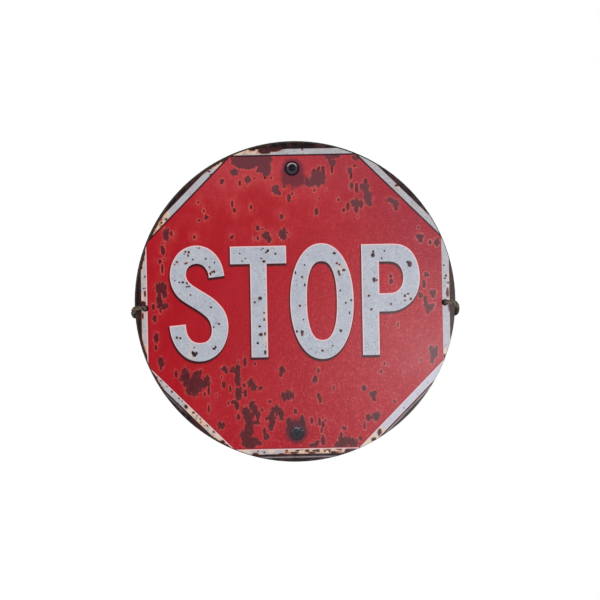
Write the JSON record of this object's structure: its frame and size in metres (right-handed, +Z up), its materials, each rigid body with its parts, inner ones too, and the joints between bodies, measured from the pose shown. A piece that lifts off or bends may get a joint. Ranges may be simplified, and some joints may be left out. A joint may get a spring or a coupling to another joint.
{
  "type": "round stop sign wall plaque",
  "caption": "Round wall plaque printed as a worn stop sign, with a twisted jute hanging cord wrapped over the rim at each side.",
  "frame": {"origin": "top of the wall hook, where the underside of the cord rests on it", "axes": "+Z up, printed face looking along -Y, +X to the viewer's right"},
  "size_m": [0.3105, 0.0271, 0.3],
  "materials": {
    "fibreboard": "dark stained rim, plain brown back",
    "print_red": "satin print, worn red with maroon rust",
    "print_white": "satin print, bluish white with rust stains",
    "print_dark": "satin print, near black",
    "print_bolt": "satin print, dark bolt head",
    "jute": "twisted grey-brown jute"
  },
  "bodies": {
    "root": {"board": "fibreboard", "red_octagon": "print_red", "border_strips": "print_white", "dark_segments": "print_dark", "printed_bolt_heads": "print_bolt", "cord": "jute", "knot_left": "jute", "knot_right": "jute"}
  },
  "joints": []
}
